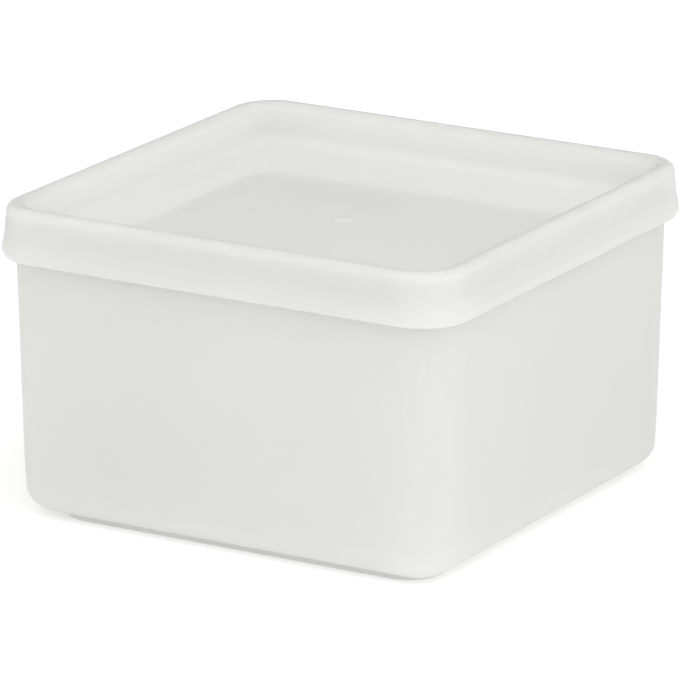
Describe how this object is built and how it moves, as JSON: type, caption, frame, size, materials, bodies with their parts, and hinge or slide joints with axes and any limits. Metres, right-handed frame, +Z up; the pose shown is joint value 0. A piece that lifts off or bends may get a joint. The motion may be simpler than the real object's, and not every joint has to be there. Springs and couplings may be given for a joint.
{
  "type": "food storage tub",
  "caption": "Square tub of frosted translucent plastic with rounded corners and a low foot ring, shut by a press-on lid with a sunk panel.",
  "frame": {"origin": "middle of the base, on the plane that the foot ring stands on", "axes": "+Z up through the middle of the lid, X and Y square to the side walls"},
  "size_m": [0.1528, 0.1528, 0.0951],
  "materials": {
    "tub_plastic": "frosted, translucent natural white",
    "lid_plastic": "satin, translucent natural white"
  },
  "bodies": {
    "root": {"tub": "tub_plastic", "lid": "lid_plastic"}
  },
  "joints": []
}
